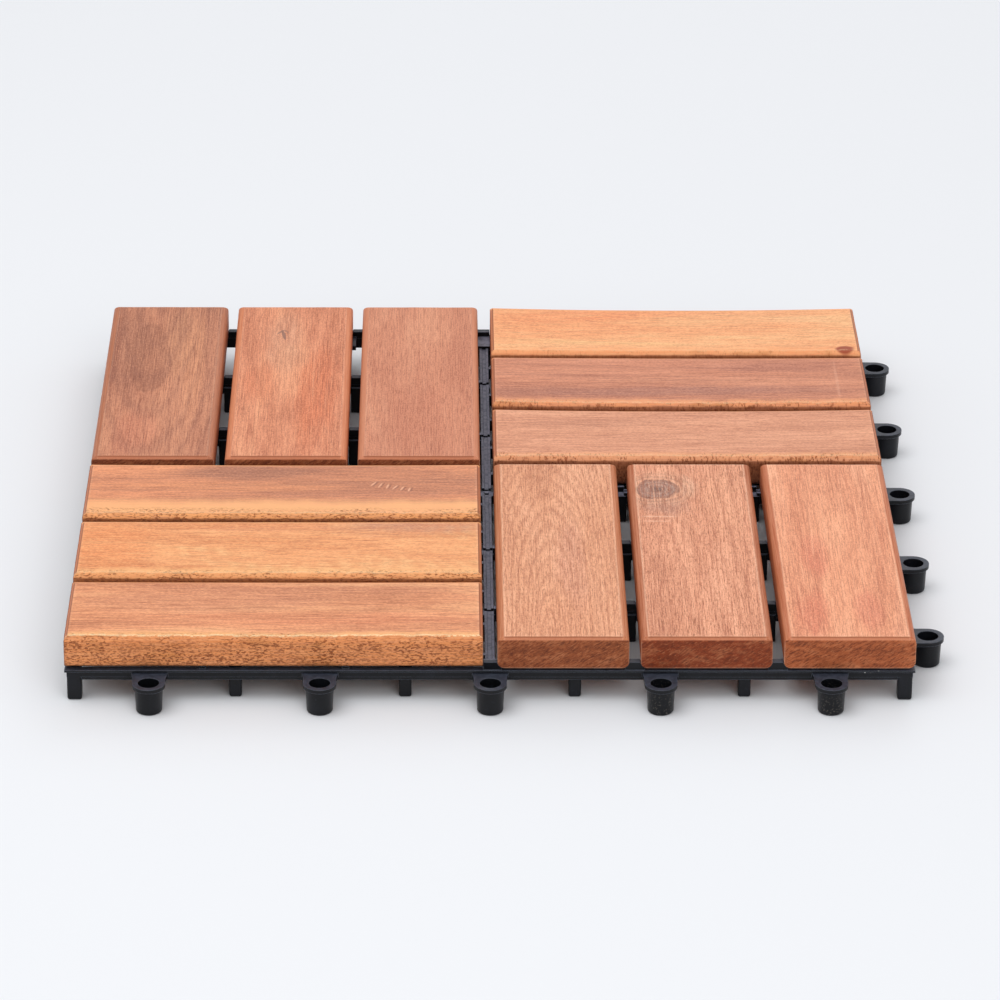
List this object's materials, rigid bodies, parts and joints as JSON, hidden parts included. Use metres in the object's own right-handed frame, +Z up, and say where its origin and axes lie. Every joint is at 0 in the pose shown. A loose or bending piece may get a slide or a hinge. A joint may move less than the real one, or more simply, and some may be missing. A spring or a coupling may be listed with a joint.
{
  "type": "interlocking deck tile",
  "caption": "Square outdoor floor tile of hardwood slats laid as a basket weave, screwed to a moulded plastic grid with loops and pegs that lock it to its neighbours.",
  "frame": {"origin": "middle of the tile in plan, on the floor under the middle foot", "axes": "+Z up through the wood, +X towards the loops on the right, -Y towards the loops on the front"},
  "size_m": [0.3129, 0.3129, 0.025],
  "materials": {
    "wood_brown": "planed and oiled, satin",
    "wood_golden": "planed and oiled, satin",
    "wood_pink": "planed and oiled, satin",
    "wood_tan": "planed and oiled, satin",
    "black_plastic": "moulded, slight satin",
    "screw_steel": "zinc plated"
  },
  "bodies": {
    "root": {"base_grid": "black_plastic", "slat_screws": "screw_steel", "back_left_slat_1": "wood_brown", "back_left_slat_2": "wood_golden", "back_left_slat_3": "wood_pink", "back_right_slat_1": "wood_tan", "back_right_slat_2": "wood_brown", "back_right_slat_3": "wood_pink", "front_left_slat_1": "wood_brown", "front_left_slat_2": "wood_golden", "front_left_slat_3": "wood_tan", "front_right_slat_1": "wood_tan", "front_right_slat_2": "wood_tan", "front_right_slat_3": "wood_pink"}
  },
  "joints": []
}
